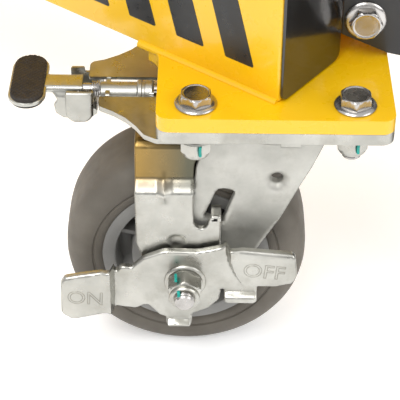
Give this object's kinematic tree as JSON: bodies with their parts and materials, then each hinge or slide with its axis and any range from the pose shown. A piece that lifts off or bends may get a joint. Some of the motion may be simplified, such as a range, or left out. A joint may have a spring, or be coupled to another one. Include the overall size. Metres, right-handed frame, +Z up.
{
  "type": "wheel dolly",
  "caption": "Steel wheel dolly for truck tyres: A-frame on braked, lockable swivel casters, low roller arms with tip wheels, and a mast with a push handle.",
  "frame": {"origin": "on the floor, at the middle of the dolly's outline", "axes": "+X forward along the arms, +Y to the pusher's left, +Z up"},
  "size_m": [1.06, 0.6804, 0.93],
  "materials": {
    "yellow_coat": "glossy powder coat",
    "black_gloss": "glossy",
    "black_coat": "satin powder coat",
    "roller_steel": "turned",
    "bolt_steel": "bright plated",
    "zinc_plate": "bright zinc plate",
    "core_plastic": "moulded",
    "grey_rubber": "non-marking rubber",
    "black_rubber": "fine textured rubber"
  },
  "bodies": {
    "frame": {"crossbeam": "yellow_coat", "apex_socket": "yellow_coat", "mast": "yellow_coat", "handle_bar": "yellow_coat", "grips": "black_rubber", "mast_bolts": "bolt_steel", "caster_bolts": "bolt_steel", "caster_nuts": "zinc_plate", "arm_bolts": "bolt_steel", "base_plate_r": "yellow_coat", "leg_r": "yellow_coat", "end_cap_r": "black_gloss", "arm_r": "black_coat", "roller_shaft_r": "bolt_steel", "tip_axle_r": "bolt_steel", "top_plate_r": "zinc_plate", "lock_bracket_r": "zinc_plate", "kingpin_r": "zinc_plate", "lock_spring_r": "bolt_steel", "base_plate_l": "yellow_coat", "leg_l": "yellow_coat", "end_cap_l": "black_gloss", "arm_l": "black_coat", "roller_shaft_l": "bolt_steel", "tip_axle_l": "bolt_steel", "top_plate_l": "zinc_plate", "lock_bracket_l": "zinc_plate", "kingpin_l": "zinc_plate", "lock_spring_l": "bolt_steel"},
    "caster_r": {"fork_r": "zinc_plate", "ball_race_r": "bolt_steel", "axle_bolt_r": "bolt_steel", "axle_nut_r": "zinc_plate"},
    "wheel_r": {"wheel_core_r": "core_plastic", "tyre_r": "grey_rubber", "hub_bearing_r": "bolt_steel"},
    "brake_shoe_r": {"brake_saddle_r": "zinc_plate"},
    "brake_pedal_r": {"brake_lever_r": "zinc_plate"},
    "lock_pin_r": {"lock_plunger_r": "bolt_steel"},
    "lock_pedal_r": {"lock_lever_r": "zinc_plate", "lock_pads_r": "black_rubber"},
    "tyre_roller_r": {"roller_r": "roller_steel"},
    "tip_wheel_r": {"tip_core_r": "core_plastic", "tip_tyre_r": "grey_rubber"},
    "caster_l": {"fork_l": "zinc_plate", "ball_race_l": "bolt_steel", "axle_bolt_l": "bolt_steel", "axle_nut_l": "zinc_plate"},
    "wheel_l": {"wheel_core_l": "core_plastic", "tyre_l": "grey_rubber", "hub_bearing_l": "bolt_steel"},
    "brake_shoe_l": {"brake_saddle_l": "zinc_plate"},
    "brake_pedal_l": {"brake_lever_l": "zinc_plate"},
    "lock_pin_l": {"lock_plunger_l": "bolt_steel"},
    "lock_pedal_l": {"lock_lever_l": "zinc_plate", "lock_pads_l": "black_rubber"},
    "tyre_roller_l": {"roller_l": "roller_steel"},
    "tip_wheel_l": {"tip_core_l": "core_plastic", "tip_tyre_l": "grey_rubber"}
  },
  "joints": [
    {"name": "swivel_r", "type": "hinge", "parent": "frame", "child": "caster_r", "pos_m": [-0.10999, -0.28, 0.1], "axis": [0, 0, 1], "continuous": true},
    {"name": "wheel_spin_r", "type": "hinge", "parent": "caster_r", "child": "wheel_r", "pos_m": [-0.15319, -0.28, 0.0635], "axis": [0, 1, 0], "continuous": true},
    {"name": "brake_lever_r", "type": "hinge", "parent": "caster_r", "child": "brake_pedal_r", "pos_m": [-0.15319, -0.28, 0.0635], "axis": [0, 1, 0], "range_deg": [0, 20]},
    {"name": "brake_shoe_r", "type": "slide", "parent": "caster_r", "child": "brake_shoe_r", "axis": [0, 0, 1], "range_m": [0, 0.002]},
    {"name": "lock_lever_r", "type": "hinge", "parent": "frame", "child": "lock_pedal_r", "pos_m": [-0.19999, -0.28, 0.147], "axis": [0, 1, 0], "range_deg": [0, 30]},
    {"name": "lock_pin_r", "type": "slide", "parent": "frame", "child": "lock_pin_r", "axis": [1, 0, 0], "range_m": [0, 0.005]},
    {"name": "roller_spin_r", "type": "hinge", "parent": "frame", "child": "tyre_roller_r", "pos_m": [0.19001, -0.246, 0.074], "axis": [1, 0, 0], "continuous": true},
    {"name": "tip_spin_r", "type": "hinge", "parent": "frame", "child": "tip_wheel_r", "pos_m": [0.47921, -0.246, 0.0508], "axis": [0, 1, 0], "continuous": true},
    {"name": "swivel_l", "type": "hinge", "parent": "frame", "child": "caster_l", "pos_m": [-0.10999, 0.28, 0.1], "axis": [0, 0, 1], "continuous": true},
    {"name": "wheel_spin_l", "type": "hinge", "parent": "caster_l", "child": "wheel_l", "pos_m": [-0.15319, 0.28, 0.0635], "axis": [0, 1, 0], "continuous": true},
    {"name": "brake_lever_l", "type": "hinge", "parent": "caster_l", "child": "brake_pedal_l", "pos_m": [-0.15319, 0.28, 0.0635], "axis": [0, 1, 0], "range_deg": [0, 20]},
    {"name": "brake_shoe_l", "type": "slide", "parent": "caster_l", "child": "brake_shoe_l", "axis": [0, 0, 1], "range_m": [0, 0.002]},
    {"name": "lock_lever_l", "type": "hinge", "parent": "frame", "child": "lock_pedal_l", "pos_m": [-0.19999, 0.28, 0.147], "axis": [0, 1, 0], "range_deg": [0, 30]},
    {"name": "lock_pin_l", "type": "slide", "parent": "frame", "child": "lock_pin_l", "axis": [1, 0, 0], "range_m": [0, 0.005]},
    {"name": "roller_spin_l", "type": "hinge", "parent": "frame", "child": "tyre_roller_l", "pos_m": [0.19001, 0.246, 0.074], "axis": [1, 0, 0], "continuous": true},
    {"name": "tip_spin_l", "type": "hinge", "parent": "frame", "child": "tip_wheel_l", "pos_m": [0.47921, 0.246, 0.0508], "axis": [0, 1, 0], "continuous": true}
  ],
  "couplings": [
    {"joint": "brake_lever_r", "follows": "brake_shoe_r", "rad_per_m": 174.5},
    {"joint": "lock_lever_r", "follows": "lock_pin_r", "rad_per_m": 104.7},
    {"joint": "brake_lever_l", "follows": "brake_shoe_l", "rad_per_m": 174.5},
    {"joint": "lock_lever_l", "follows": "lock_pin_l", "rad_per_m": 104.7}
  ]
}
